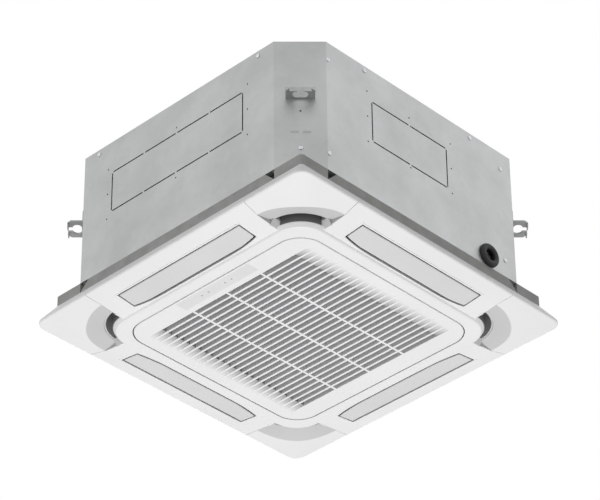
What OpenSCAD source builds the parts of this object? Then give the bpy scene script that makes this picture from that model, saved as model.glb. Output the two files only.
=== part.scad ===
// Compact ceiling cassette air conditioner, all lengths in millimetres.
// The origin is the centre of the lowest face, and +Z points up to the ceiling slab.
// The front is -Y, and the intake grille hangs from its hinge along the back, +Y.

/* [Cabinet] */
// Width of the cabinet across two flat sides
cabinet_w = 570; // [560:1:576]
// Height of the cabinet above the fascia
cabinet_h = 256; // [250:1:300]
// Length cut from each side at a corner
corner_cut = 60; // [56:1:64]
// Thickness of the galvanised sheet
sheet_t = 1.2; // [0.8:0.1:1.5]
// Depth of the folded edge of the top pan
top_edge_h = 20; // [16:1:30]
// Depth of the folded lip at the foot of a side sheet
foot_lip = 12; // [8:1:14]
// Thickness of the foam liner
liner_t = 15; // [12:0.5:16]

/* [Knock-outs] */
// Height of a duct knock-out
knockout_h = 80; // [60:1:100]
// Width of the front knock-out
front_knockout_w = 309; // [240:1:330]
// Width of the right knock-out
right_knockout_w = 180; // [150:1:200]
// Width of a punched slit
slit_w = 2.6; // [1:0.1:3]
// Metal left between two slits
slit_bridge = 4; // [3:0.5:6]

/* [Hanger brackets] */
// Width of a hanger bracket
hanger_w = 47; // [40:1:52]
// Reach of a hanger bracket from the cabinet
hanger_reach = 28; // [26:0.5:30]
// Thickness of a hanger bracket
hanger_t = 2.5; // [2:0.1:3]
// Width of the hook's mouth for the hanging rod
hanger_mouth = 12; // [11:0.5:13]
// Height of the bracket plate above the lowest face
hanger_z = 209; // [195:1:240]

/* [Fascia] */
// Width of the fascia
fascia_w = 620; // [618:1:630]
// Corner radius of the fascia rim
fascia_corner_r = 22; // [18:1:26]
// Height of the cabinet's foot above the lowest face
fascia_drop = 70; // [68:1:76]
// Height of the rim's lower edge above the lowest face
rim_z = 15; // [14:0.5:17]
// Thickness of the rim
rim_t = 4; // [3:0.5:5]
// Height of the sealing blocks
seal_h = 19; // [16:0.5:20]
// Thickness of the moulded walls
wall_t = 3; // [2.5:0.1:3.2]
// Distance from the centre lines to the centre of each corner's arcs
arc_centre = 179; // [178:0.5:180]

/* [Intake ring and grille] */
// Width of the raised ring round the intake
ring_w = 456; // [454:1:458]
// Height of the ring's side wall
ring_h = 7.5; // [7:0.5:8]
// Width of the well that the grille closes
well_w = 415; // [410:1:418]
// Corner radius of the well
well_corner_r = 45.7; // [42:0.1:48]
// Running gap round the grille
grille_gap = 2; // [1.5:0.1:2.5]
// Thickness of the grille's face
grille_t = 2.5; // [2:0.1:2.6]
// Number of rows of slots
slot_rows = 25; // [20:1:26]
// Distance from one row of slots to the next
slot_pitch = 13.57; // [13:0.01:13.6]
// Width of a slat between two slots
slat_w = 3.9; // [3.5:0.1:5]
// Height of a slat
slat_h = 12; // [10:0.5:14]
// Length of a row of slots
slot_row_l = 308; // [290:1:320]
// Width of a rib across the slots
rib_w = 4; // [3:0.1:5]

/* [Vanes] */
// Length of a vane
vane_l = 276; // [270:1:278]
// Gap at the ends and the outer edge of a vane
vane_gap = 3; // [2.5:0.1:3.5]
// Gap between a vane and the ring
vane_inner_gap = 4; // [4:0.1:4.5]
// Thickness of a vane
vane_t = 3; // [2.5:0.1:3.2]
// Radius of a vane's pin
vane_pin_r = 2.5; // [2:0.1:2.8]

/* [Fan] */
// Outer radius of the fan
fan_r = 155; // [150:1:158]
// Height of the fan's blades
fan_h = 138; // [125:1:140]
// Number of blades
blade_count = 7; // [5:1:9]
// Thickness of a blade
blade_t = 3.5; // [2.5:0.1:5]
// Radius of the bellmouth's throat
throat_r = 118; // [112:1:120]
// Radius of the motor's housing
motor_r = 62; // [50:1:66]
// Radius of the fan shaft
shaft_r = 5; // [4:0.5:6]

/* [Coil] */
// Half width of the coil over its outer faces
coil_half = 215; // [212:1:216]
// Depth of the coil along the air flow
coil_t = 40; // [36:1:41]
// Outer corner radius of the coil
coil_corner_r = 60; // [55:1:65]
// Radius of the coil's tubes
tube_r = 3.5; // [3:0.25:4]
// Rows of return bends
bend_rows = 8; // [6:1:8]

/* [Pipes] */
// Radius of the gas pipe
gas_pipe_r = 6.35; // [5:0.05:7]
// Radius of the liquid pipe
liquid_pipe_r = 3.2; // [3:0.05:4.8]
// Radius of the drain outlet
drain_r = 12.5; // [11:0.5:13]
// Bore radius of the cable grommet
grommet_bore_r = 10.5; // [8:0.5:11]
// Outer radius of the cable grommet
grommet_r = 21.5; // [20:0.5:23]

/* [Hidden] */

// Turns that bring the right side or the right back corner to each of the four places
right_angle = 0;
back_angle = 90;
left_angle = 180;
front_angle = 270;

// Clearances: parts that are fitted together, parts that run, and cuts that pass a face
fit = 0.3;
run = 0.05;
overrun = 1;
// Facets of round pieces
fine = 96;
small = 32;

// Main levels and half widths
cabinet_half = cabinet_w / 2;
cabinet_flat = cabinet_half - corner_cut;
cabinet_z0 = fascia_drop;
cabinet_z1 = fascia_drop + cabinet_h;
sheet_z1 = cabinet_z1 - sheet_t;
chamfer_d = (cabinet_half + cabinet_flat) / sqrt(2);
fascia_half = fascia_w / 2;
ledge_z = fascia_drop - seal_h;
ring_half = ring_w / 2;
well_half = well_w / 2;
grille_half = well_half - grille_gap;
grille_corner_r = well_corner_r - grille_gap;

// The fascia's face falls from the rim to a crease, and again from the crease to the ring
crease_half = 277;
crease_z = 9.2;
foot_z = 4.6;
foot_half = 236;
rim_round = 2.4;
seam_crease_y = 179.5;
seam_rim_y = 183.5;
seam_gap = 0.5;
function face_z(r) = r > crease_half
    ? crease_z + (rim_z - crease_z) * (r - crease_half) / (fascia_half - crease_half)
    : crease_z - (crease_z - foot_z) * (crease_half - r) / (crease_half - foot_half);

// Ring wall: narrow at the lowest face and wider above
ring_foot_r = ring_half - arc_centre;
ring_flare = 4.5;
ring_top_r = ring_foot_r + ring_flare;
ring_edge_r = 2;
ring_top_half = arc_centre + ring_top_r;

// Air outlet beside the ring, and the duct above it
outlet_half_l = vane_l / 2 + vane_gap;
outlet_past_crease = 1.5;
outlet_outer = crease_half + outlet_past_crease;
outlet_inner = ring_top_half;
duct_z = 20;
duct_top_inner = 236;
duct_top_outer = cabinet_half - foot_lip - wall_t - fit;
vane_outer = outlet_outer - vane_gap;
vane_inner = outlet_inner + vane_inner_gap;
bow_start = 80;
bow_r = 270;
pivot_r = 252;
pivot_z = 14;

// Corner outlet: a curved slot over a pocket in the face
slot_r0 = ring_top_r + fit;
slot_r1 = 66;
slot_end_angle = 7.4;
slot_tower_wall = 2.5;
slot_tower_r = slot_r1 + slot_tower_wall;
pocket_r = crease_half - arc_centre;
pocket_roof_z = 15;
shelf_z = rim_z + rim_t;
shelf_t = 2.5;
cap_t = 2.5;

module corner_slot(z0, z1) {
    translate([arc_centre, arc_centre, 0])
        rotate([0, 0, slot_end_angle])
            rotate_extrude(angle = 90 - 2 * slot_end_angle, $fn = fine)
                translate([slot_r0, z0])
                    square([slot_r1 - slot_r0, z1 - z0]);
}

// Plan shapes
module octagon(inset) {
    h = cabinet_half - inset;
    f = cabinet_flat - (sqrt(2) - 1) * inset;
    polygon([[h, -f], [h, f], [f, h], [-f, h], [-h, f], [-h, -f], [-f, -h], [f, -h]]);
}

module octagon_tube(outer_inset, inner_inset) {
    difference() {
        octagon(outer_inset);
        octagon(inner_inset);
    }
}

module rounded_square(half, r) {
    square([2 * half, 2 * (half - r)], center = true);
    square([2 * (half - r), 2 * half], center = true);
    for (x = [-1, 1], y = [-1, 1])
        translate([x * (half - r), y * (half - r)])
            circle(r, $fn = fine);
}

module span(r0, r1, y0, y1) {
    translate([r0, y0])
        square([r1 - r0, y1 - y0]);
}

// Solids
module turned(angle) {
    rotate([0, 0, angle])
        children();
}

module four_times() {
    for (k = [0:90:270])
        turned(k)
            children();
}

module slab(z0, z1) {
    translate([0, 0, z0])
        linear_extrude(height = z1 - z0)
            children();
}

// A profile drawn as distance from the centre and height, run along the right side
module along_side(length) {
    rotate([90, 0, 0])
        linear_extrude(height = length, center = true)
            children();
}

// A profile drawn as place along the side and height, run outwards from r0 to r1
module across_side(r0, r1) {
    translate([r0, 0, 0])
        rotate([90, 0, 90])
            linear_extrude(height = r1 - r0)
                children();
}

// A profile drawn as distance from the corner's arc centre and height, run round the whole square
module round_square(c) {
    four_times() {
        translate([c, 0, 0])
            along_side(2 * c)
                children();
        translate([c, c, 0])
            rotate_extrude(angle = 90, $fn = fine)
                children();
    }
}

module tube_between(r, z0, z1) {
    translate([0, 0, z0])
        cylinder(r = r, h = z1 - z0, $fn = fine);
}

// Screws of the cabinet: place along the side and height, for each side
screw_r = 2;
screw_head_r = 4;
screw_head_h = 2;
screw_hole_r = screw_r + fit;
top_screw_y = 189.5;
top_screw_drop = 9.5;
narrow_lap = 8;
wide_lap = 28.5;
narrow_screw_inset = 3.6;
wide_screw_inset = 26;
post_screw_drop = 35;
post_screw_rise = 33;
top_screw_z = cabinet_z1 - top_screw_drop;
function plain_screws() = [[-top_screw_y, top_screw_z], [top_screw_y, top_screw_z]];
right_screw_y0 = -135;
right_screw_y1 = 123;
function post_screws(y) = [[y, cabinet_z0 + post_screw_rise], [y, cabinet_z1 - post_screw_drop]];
function right_screws() = concat([[right_screw_y0, top_screw_z], [right_screw_y1, top_screw_z]],
    post_screws(narrow_screw_inset - cabinet_flat), post_screws(cabinet_flat - wide_screw_inset));
function side_screws(k) = k == right_angle ? right_screws() : plain_screws();

// The screws of one corner's chamfer: place along it and height
chamfer_screw_rise = 42;
chamfer_screw_z = cabinet_z0 + chamfer_screw_rise;

module screw_holes() {
    for (k = [0:90:270])
        turned(k)
            for (p = side_screws(k))
                translate([cabinet_half - top_edge_h, p[0], p[1]])
                    rotate([0, 90, 0])
                        cylinder(r = screw_hole_r, h = top_edge_h + overrun, $fn = small);
    four_times()
        on_chamfer()
            translate([-top_edge_h, 0, chamfer_screw_z])
                rotate([0, 90, 0])
                    cylinder(r = screw_hole_r, h = top_edge_h + overrun, $fn = small);
}

// Right back corner's chamfer: X points out of it and Y runs along it
module on_chamfer() {
    rotate([0, 0, 45])
        translate([chamfer_d, 0, 0])
            children();
}

bead_r = 95;
bead_w = 8;
bead_h = 3;

module top_pan() {
    color("#b4b6b6")
        difference() {
            union() {
                slab(sheet_z1, cabinet_z1)
                    octagon(0);
                slab(cabinet_z1 - top_edge_h, sheet_z1)
                    octagon_tube(sheet_t, 2 * sheet_t);
                slab(sheet_z1 - bead_h, sheet_z1)
                    difference() {
                        circle(bead_r, $fn = fine);
                        circle(bead_r - bead_w, $fn = fine);
                    }
            }
            screw_holes();
        }
}

// Holes at a knock-out's corners for its duct collar
collar_hole_r = 1.5;
collar_hole_gap = 11;
knockout_rise = 111;
knockout_z0 = cabinet_z0 + knockout_rise;

module knockout(y0, width, spans, rise) {
    z0 = knockout_z0;
    z1 = knockout_z0 + knockout_h;
    step = width / spans;
    for (i = [0:spans - 1], z = [z0, z1])
        translate([0, y0 + i * step + slit_bridge / 2, z - slit_w / 2])
            cube([top_edge_h, step - slit_bridge, slit_w]);
    for (y = [y0, y0 + width])
        translate([0, y - slit_w / 2, z0 + slit_bridge / 2])
            cube([top_edge_h, slit_w, knockout_h - slit_bridge]);
    for (y = [y0 - collar_hole_gap, y0 + width / 2, y0 + width + collar_hole_gap],
         z = [z0 - collar_hole_gap + rise, z1 + collar_hole_gap + rise])
        translate([0, y, z])
            rotate([0, 90, 0])
                cylinder(r = collar_hole_r, h = top_edge_h, $fn = small);
    for (y = [y0 - collar_hole_gap, y0 + width + collar_hole_gap])
        translate([0, y, (z0 + z1) / 2 + rise])
            rotate([0, 90, 0])
                cylinder(r = collar_hole_r, h = top_edge_h, $fn = small);
}

// One side sheet with its foot lip, and a tab behind each corner post
tab_lap = 14;

module side_sheet(k, lap_a, lap_b) {
    y0 = lap_a - cabinet_flat;
    y1 = cabinet_flat - lap_b;
    tab_r0 = cabinet_half - 2 * sheet_t;
    turned(k)
        difference() {
            union() {
                slab(cabinet_z0, sheet_z1)
                    span(cabinet_half - sheet_t, cabinet_half, y0, y1);
                slab(cabinet_z0, cabinet_z0 + sheet_t)
                    span(cabinet_half - foot_lip, cabinet_half, y0, y1);
                slab(cabinet_z0 + sheet_t, cabinet_z1 - top_edge_h - fit) {
                    span(tab_r0, tab_r0 + sheet_t, y0 - lap_a + sheet_t, y0 + tab_lap);
                    span(tab_r0, tab_r0 + sheet_t, y1 - tab_lap, y1 + lap_b - sheet_t);
                }
            }
            turned(-k)
                screw_holes();
            translate([cabinet_half - top_edge_h / 2, 0, 0])
                children();
        }
}

module front_sheet() {
    color("#aeb0b0")
        side_sheet(front_angle, narrow_lap, narrow_lap)
            knockout(-front_knockout_w / 2, front_knockout_w, 4, 0);
}

right_knockout_y = -119;
right_hole_rise = 5;
grommet_y = 155.5;
grommet_rise = 21;
grommet_z = cabinet_z0 + grommet_rise;
grommet_lip = 8;
grommet_neck_r = 15;
grommet_groove = 2;

module right_sheet() {
    color("#b8baba")
        side_sheet(right_angle, narrow_lap, wide_lap) {
            knockout(right_knockout_y, right_knockout_w, 2, right_hole_rise);
            translate([0, grommet_y, grommet_z])
                rotate([0, 90, 0])
                    cylinder(r = grommet_neck_r + run, h = top_edge_h, $fn = fine);
        }
}

gas_x = -183;
liquid_x = -158;
drain_x = -176;
drain_rise = 192;
drain_z = cabinet_z0 + drain_rise;
pipe_clearance = 2;

module pipe_holes(growth) {
    for (p = [[gas_x, gas_z, gas_pipe_r], [liquid_x, liquid_z, liquid_pipe_r], [drain_x, drain_z, drain_r]])
        translate([0, -p[0], p[1]])
            rotate([0, 90, 0])
                cylinder(r = p[2] + growth, h = top_edge_h, $fn = small);
}

module back_sheet() {
    color("#aeb0b0")
        side_sheet(back_angle, narrow_lap, narrow_lap)
            pipe_holes(pipe_clearance);
}

module left_sheet() {
    color("#b8baba")
        side_sheet(left_angle, narrow_lap, narrow_lap);
}

// A corner post is one folded sheet: the chamfer and a lap on each neighbouring side
dimple_rise = 115;
dimple_z = cabinet_z0 + dimple_rise;
dimple_r = 3.5;
louvre_rise = 74;
louvre_z = cabinet_z0 + louvre_rise;
louvre_y = 10;
louvre_w = 12;
louvre_h = 8;
louvre_out = 2;

module corner_post(k, lap_a, lap_b) {
    h = cabinet_half;
    f = cabinet_flat;
    g = f - (sqrt(2) - 1) * sheet_t;
    t = sheet_t;
    color("#aaacab")
        turned(k)
            difference() {
                union() {
                    slab(cabinet_z0, sheet_z1)
                        polygon([[h, f - lap_a], [h, f], [f, h], [f - lap_b, h],
                            [f - lap_b, h - t], [g, h - t], [h - t, g], [h - t, f - lap_a]]);
                    on_chamfer()
                        for (y = [-louvre_y, louvre_y])
                            translate([0, y, louvre_z])
                                rotate([90, 0, 0])
                                    linear_extrude(height = louvre_w, center = true)
                                        polygon([[-t, -louvre_h / 2], [louvre_out, 0], [0, t], [-t, t]]);
                }
                turned(-k)
                    screw_holes();
                on_chamfer()
                    translate([-2 * t, 0, dimple_z])
                        rotate([0, 90, 0])
                            cylinder(r = dimple_r / 2, h = top_edge_h, $fn = small);
            }
}

// Hanger bracket: a horizontal hook that a hanging rod slides into from outside
hanger_hole_l = 26;
hanger_hole_x0 = 4;
hanger_hole_x1 = 19.3;
hanger_lip_h = 6;
hanger_lip_t = 2;
hanger_nose = 6;
hanger_foot_h = 22;

module hook_plan() {
    r = (hanger_hole_x1 - hanger_hole_x0) / 2;
    difference() {
        polygon([[0, -hanger_w / 2], [hanger_reach - hanger_nose, -hanger_w / 2],
            [hanger_reach, hanger_nose - hanger_w / 2], [hanger_reach, hanger_w / 2 - hanger_nose],
            [hanger_reach - hanger_nose, hanger_w / 2], [0, hanger_w / 2]]);
        for (y = [-1, 1])
            translate([hanger_hole_x0 + r, y * (hanger_hole_l / 2 - r)])
                circle(r, $fn = small);
        span(hanger_hole_x0, hanger_hole_x1, r - hanger_hole_l / 2, hanger_hole_l / 2 - r);
        span(hanger_hole_x1 - r, hanger_reach + overrun, -hanger_mouth / 2, hanger_mouth / 2);
    }
}

module hanger(k) {
    color("#9c9e9d")
        turned(k)
            on_chamfer() {
                slab(hanger_z, hanger_z + hanger_t)
                    hook_plan();
                slab(hanger_z, hanger_z + hanger_foot_h)
                    span(0, hanger_t, -hanger_w / 2, hanger_w / 2);
                slab(hanger_z - hanger_lip_h, hanger_z)
                    for (side = [0, 1])
                        mirror([0, side])
                            span(hanger_reach - hanger_lip_t, hanger_reach, hanger_mouth / 2,
                                hanger_w / 2 - hanger_nose);
            }
}

module one_screw(shank) {
    rotate([0, 90, 0]) {
        cylinder(r = screw_head_r, h = screw_head_h, $fn = small);
        translate([0, 0, -shank])
            cylinder(r = screw_r, h = shank, $fn = small);
    }
}

module cabinet_screws() {
    color("#d2d4d4") {
        for (k = [0:90:270])
            turned(k)
                for (p = side_screws(k))
                    translate([cabinet_half, p[0], p[1]])
                        one_screw(2 * sheet_t);
        four_times()
            on_chamfer()
                translate([0, 0, chamfer_screw_z])
                    one_screw(2 * sheet_t);
    }
}

module cable_grommet() {
    color("#3c3d3e")
        translate([cabinet_half, grommet_y, grommet_z])
            rotate([0, 90, 0])
                difference() {
                    union() {
                        cylinder(r = grommet_r, h = grommet_lip, $fn = fine);
                        translate([0, 0, -sheet_t])
                            cylinder(r = grommet_neck_r, h = sheet_t, $fn = fine);
                        translate([0, 0, -sheet_t - grommet_groove])
                            cylinder(r = grommet_neck_r + grommet_groove, h = grommet_groove, $fn = fine);
                    }
                    translate([0, 0, -sheet_t - grommet_groove - overrun])
                        cylinder(r = grommet_bore_r, h = grommet_lip + sheet_t + grommet_groove + 2 * overrun,
                            $fn = fine);
                }
}

// Drain pan: the foam tray under the coil, with the four air ducts and the bellmouth's hole through it
pan_z0 = cabinet_z0 + sheet_t;
pan_h = 45;
pan_floor_t = 21;
pan_sump_t = 12;
pan_z1 = pan_z0 + pan_h;
pan_floor_z = pan_z0 + pan_floor_t;
pan_sump_z = pan_z0 + pan_sump_t;
pan_inset = sheet_t + grommet_groove + fit;
pan_hole_r = 165;
trough_gap = 4;
pump_x = -151;
pump_y = 151;
pump_r = 23;
float_x = -188;
float_y = 188;
sump_gap = 5;
pan_channel_x = 205;
bolt_r = 2.5;
bolt_d = 240;
bolt_head_r = 5;
bolt_head_h = 3;
bolt_bite = 14;

module pan_well(x, y, r) {
    translate([x, y, pan_sump_z])
        cylinder(r = r, h = pan_z1 - pan_sump_z + overrun, $fn = fine);
}

module drain_pan() {
    color("#e9e9e4")
        difference() {
            slab(pan_z0, pan_z1)
                octagon(pan_inset);
            tube_between(pan_hole_r, pan_z0 - overrun, pan_z1 + overrun);
            slab(pan_floor_z, pan_z1 + overrun)
                difference() {
                    rounded_square(coil_half + trough_gap, coil_corner_r + trough_gap);
                    rounded_square(coil_half - coil_t - trough_gap, coil_corner_r - coil_t - trough_gap);
                }
            pan_well(pump_x, pump_y, pump_r + sump_gap);
            pan_well(float_x, float_y, float_r + sump_gap);
            four_times() {
                slab(pan_z0 - overrun, pan_z1 + overrun)
                    span(duct_top_inner, duct_top_outer, -outlet_half_l, outlet_half_l);
                translate([bolt_d, bolt_d, pan_z0 - overrun])
                    cylinder(r = bolt_r + fit, h = bolt_bite + overrun, $fn = small);
                corner_slot(pan_z0 - overrun, pan_z1 + overrun);
            }
            translate([pan_channel_x, grommet_y - grommet_bore_r, pan_z0 - overrun])
                cube([cabinet_half - pan_channel_x, 2 * grommet_bore_r,
                    grommet_z + grommet_bore_r - pan_z0 + overrun]);
            translate([cabinet_half - top_edge_h / 2, grommet_y, grommet_z])
                rotate([0, 90, 0])
                    cylinder(r = grommet_neck_r + grommet_groove + fit, h = top_edge_h, $fn = fine);
        }
}

// Foam liner: walls and roof inside the cabinet, open below
roof_t = 12;
roof_hole_r = 108;
liner_inset = pan_inset;
liner_roof_z = sheet_z1 - bead_h - fit;

module foam_liner() {
    color("#dcdcd6")
        difference() {
            union() {
                slab(pan_z1, liner_roof_z)
                    octagon_tube(liner_inset, liner_inset + liner_t);
                slab(liner_roof_z - roof_t, liner_roof_z)
                    octagon(liner_inset);
            }
            tube_between(roof_hole_r, liner_roof_z - roof_t - overrun, liner_roof_z + overrun);
            turned(back_angle)
                translate([cabinet_half - top_edge_h, 0, 0])
                    pipe_holes(pipe_clearance);
        }
}

// Coil: a square loop of fins with one open corner for the pipework, at the back left
coil_z0 = pan_floor_z;
coil_z1 = liner_roof_z - roof_t;
coil_end = 140;
fin_pitch = 9;
fin_groove = 1.5;
fin_count = floor(2 * (coil_half - coil_corner_r) / fin_pitch);
tube_plate_t = 1.5;
bend_r = 10;
bend_pitch = (coil_z1 - coil_z0) / bend_rows;
gas_z = coil_z0 + 3 * bend_pitch;
liquid_z = coil_z0 + 4 * bend_pitch;

module coil_plan() {
    difference() {
        rounded_square(coil_half, coil_corner_r);
        rounded_square(coil_half - coil_t, coil_corner_r - coil_t);
        translate([-coil_half - overrun, coil_end])
            square([coil_half + overrun - coil_end, coil_half]);
    }
}

module coil_fins() {
    color("#c9ccce")
        difference() {
            slab(coil_z0, coil_z1)
                coil_plan();
            for (k = [0:90:270], i = [0:fin_count])
                turned(k)
                    slab(coil_z0 - overrun, coil_z1 + overrun)
                        translate([coil_half, (i - fin_count / 2) * fin_pitch])
                            square(fin_groove, center = true);
        }
}

// Tube plates on the coil's two ends, with the hairpin bends between its two rows of tubes
module return_bend() {
    rotate_extrude(angle = 180, $fn = fine)
        translate([bend_r, 0])
            circle(tube_r, $fn = small);
}

module tube_end() {
    mid = coil_half - coil_t / 2;
    slab(coil_z0, coil_z1)
        span(-coil_end - tube_plate_t, -coil_end, coil_half - coil_t, coil_half);
    for (i = [0:bend_rows - 1])
        translate([-coil_end - tube_plate_t, mid, coil_z0 + (i + 0.5) * bend_pitch])
            rotate([0, 0, 90])
                return_bend();
}

module coil_tubes() {
    color("#b87443") {
        tube_end();
        mirror([1, 1, 0])
            tube_end();
    }
}

// Flare joint on a pipe: six-sided nut body and male thread end, pointing out of the back
flare_body_l = 9;
flare_end_l = 11;
flare_neck_l = 2;
flare_neck_step = 0.8;
gas_nut_r = 12;
gas_end_r = 9.5;
liquid_nut_r = 8;
liquid_end_r = 5.5;
flare_gap = 4;
flare_start = cabinet_half + flare_gap;
pipe_bend_r = 15;

module flare_end(nut_r, end_r) {
    rotate([-90, 0, 0]) {
        cylinder(r = nut_r, h = flare_body_l, $fn = 6);
        cylinder(r = end_r - flare_neck_step, h = flare_body_l + flare_neck_l + run, $fn = small);
        translate([0, 0, flare_body_l + flare_neck_l])
            cylinder(r = end_r, h = flare_end_l, $fn = small);
    }
}

// A pipe that leaves the coil's back end, bends and runs out of the back
module coil_pipe(x, z, r, bend, y) {
    start = -coil_end - tube_plate_t;
    translate([x + bend, y, z])
        rotate([0, 90, 0])
            cylinder(r = r, h = start - x - bend, $fn = small);
    translate([x + bend, y + bend, z])
        rotate([0, 0, 180])
            rotate_extrude(angle = 90, $fn = fine)
                translate([bend, 0])
                    circle(r, $fn = small);
    translate([x, y + bend, z])
        rotate([-90, 0, 0])
            cylinder(r = r, h = flare_start - y - bend, $fn = small);
}

gas_y = coil_half - coil_t / 2;
liquid_bend_r = 6;
liquid_y = coil_half - tube_r;

module gas_pipe() {
    color("#b87443")
        coil_pipe(gas_x, gas_z, gas_pipe_r, pipe_bend_r, gas_y);
    color("#c9a24a")
        translate([gas_x, flare_start, gas_z])
            flare_end(gas_nut_r, gas_end_r);
}

module liquid_pipe() {
    color("#b87443")
        coil_pipe(liquid_x, liquid_z, liquid_pipe_r, liquid_bend_r, liquid_y);
    color("#c9a24a")
        translate([liquid_x, flare_start, liquid_z])
            flare_end(liquid_nut_r, liquid_end_r);
}

// Fan levels
fan_rise = 41;
fan_z0 = pan_z0 + fan_rise;
fan_z1 = fan_z0 + fan_h;
disc_t = 3;
dome_r = 52;
dome_h = 46;
dome_top_r = 96;
boss_r = 12;
boss_h = 14;
shroud_bend_r = 34;
shroud_t = 2.5;
shroud_eye_r = 124;
blade_root_r = 98;
blade_bow_r = 110;
blade_bow_x = 15.5;
blade_bow_y = 72.7;

mount_h = 22;
motor_sink = 15;
motor_z0 = fan_z1 - motor_sink;
motor_z1 = sheet_z1 - mount_h;
motor_nose_r = 30;
motor_nose_h = 14;
motor_lug_t = 4;
mount_r = 9;
mount_d = 75;
bearing_depth = 12;
bearing_r = shaft_r + run;

module fan_motor() {
    color("#8f9294")
        difference() {
            union() {
                tube_between(motor_r, motor_z0, motor_z1 - motor_lug_t);
                tube_between(motor_nose_r, motor_z0 - motor_nose_h, motor_z0);
                slab(motor_z1 - motor_lug_t, motor_z1)
                    for (a = [0:90:270])
                        rotate([0, 0, a])
                            hull() {
                                circle(mount_r, $fn = small);
                                translate([mount_d, 0])
                                    circle(mount_r, $fn = small);
                            }
            }
            tube_between(bearing_r, motor_z0 - motor_nose_h - overrun,
                motor_z0 - motor_nose_h + bearing_depth);
        }
}

module motor_mounts() {
    color("#3a3b3c")
        for (a = [0:90:270])
            rotate([0, 0, a])
                translate([mount_d, 0, 0])
                    tube_between(mount_r, motor_z1, sheet_z1);
}

shaft_out = 12;
shaft_z0 = fan_z1 - dome_h - shaft_out;
shaft_z1 = motor_z0 - motor_nose_h + bearing_depth - fit;

module fan_shaft() {
    color("#c4c7c9")
        tube_between(shaft_r, shaft_z0, shaft_z1);
}

nut_h = 6;
nut_r = 9;
boss_z0 = fan_z1 - dome_h;

module fan_nut() {
    color("#b9bcbe")
        difference() {
            translate([0, 0, boss_z0 - nut_h])
                cylinder(r = nut_r, h = nut_h, $fn = 6);
            tube_between(shaft_r + run, boss_z0 - nut_h - overrun, boss_z0 + overrun);
        }
}

// Turbo fan: curved blades between an inlet shroud below and a disc above, round a dome over the motor
module blade_plan() {
    intersection() {
        translate([blade_bow_x, -blade_bow_y])
            difference() {
                circle(blade_bow_r + blade_t / 2, $fn = fine);
                circle(blade_bow_r - blade_t / 2, $fn = fine);
            }
        span(0, fan_r, -fan_r, blade_root_r / 3);
    }
}

// The blades' lower edge follows the middle of the shroud in straight steps
blade_steps = 6;
blade_tip_r = fan_r - shroud_t;
shroud_c = shroud_eye_r + shroud_bend_r;
shroud_mid_r = shroud_bend_r - shroud_t / 2;
function shroud_mid(a) = [shroud_c - shroud_mid_r * cos(a), fan_z0 + shroud_mid_r * sin(a)];

module blades() {
    tip_angle = acos((shroud_c - blade_tip_r) / shroud_mid_r);
    intersection() {
        slab(fan_z0, fan_z1)
            for (i = [0:blade_count - 1])
                rotate([0, 0, i * 360 / blade_count])
                    blade_plan();
        rotate_extrude($fn = fine)
            polygon(concat([for (i = [0:blade_steps]) shroud_mid(tip_angle * i / blade_steps)],
                [[blade_tip_r, fan_z1], [blade_root_r, fan_z1], [blade_root_r, fan_z0 + shroud_bend_r]]));
    }
}

module shroud() {
    rotate_extrude($fn = fine)
        intersection() {
            translate([shroud_c, fan_z0])
                difference() {
                    circle(shroud_bend_r, $fn = fine);
                    circle(shroud_bend_r - shroud_t, $fn = fine);
                }
            translate([0, fan_z0])
                square([fan_r, 2 * shroud_bend_r]);
        }
}

module turbo_fan() {
    color("#e4e5e3")
        difference() {
            union() {
                blades();
                shroud();
                rotate_extrude($fn = fine)
                    polygon([[0, boss_z0], [dome_r, boss_z0], [dome_top_r, fan_z1], [fan_r, fan_z1],
                        [fan_r, fan_z1 + disc_t], [dome_top_r - disc_t, fan_z1 + disc_t],
                        [dome_r - disc_t, boss_z0 + disc_t], [boss_r, boss_z0 + disc_t],
                        [boss_r, boss_z0 + boss_h], [0, boss_z0 + boss_h]]);
            }
            tube_between(shaft_r + run, boss_z0 - overrun, boss_z0 + boss_h + overrun);
        }
}

// Bellmouth: a flared ring under the pan that leads the air into the fan's eye
bell_r = 42;
bell_t = 2.5;
bell_lip = 6;
bell_flange = 20;

module bellmouth() {
    c = throat_r + bell_r;
    z0 = pan_z0 - bell_t;
    color("#dedfdd")
        rotate_extrude($fn = fine) {
            intersection() {
                translate([c, z0 + bell_r])
                    difference() {
                        circle(bell_r, $fn = fine);
                        circle(bell_r - bell_t, $fn = fine);
                    }
                translate([throat_r, z0])
                    square([bell_r, bell_r]);
            }
            translate([c, z0])
                square([bell_flange, bell_t]);
            translate([throat_r, z0 + bell_r])
                square([bell_t, bell_lip]);
        }
}

// Drain pump in the pan's back left corner, with its riser to the drain outlet
pump_h = 60;
pump_z0 = pan_sump_z;
pump_foot_r = 10;
riser_r = 7;
riser_dx = 13;
riser_dy = 7;
riser_x = pump_x - riser_dx;
riser_y = pump_y + riser_dy;
drain_wall = 2;
drain_step = 1;
drain_out = 20;

module drain_pump() {
    color("#6f7375")
        translate([pump_x, pump_y, 0]) {
            tube_between(pump_foot_r, pump_z0, pan_floor_z);
            tube_between(pump_r, pan_floor_z, pump_z0 + pump_h);
        }
}

module drain_outlet() {
    color("#d8dad9")
        difference() {
            union() {
                translate([riser_x, riser_y, 0])
                    tube_between(riser_r, pump_z0 + pump_h, drain_z);
                translate([drain_x, riser_y - riser_r, drain_z])
                    rotate([-90, 0, 0])
                        cylinder(r = drain_r - drain_step, h = cabinet_half - riser_y + riser_r, $fn = fine);
                translate([drain_x, cabinet_half, drain_z])
                    rotate([-90, 0, 0])
                        cylinder(r = drain_r, h = drain_out, $fn = fine);
            }
            translate([drain_x, riser_y, drain_z])
                rotate([-90, 0, 0])
                    cylinder(r = drain_r - drain_wall, h = cabinet_half + drain_out, $fn = fine);
        }
}

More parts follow.
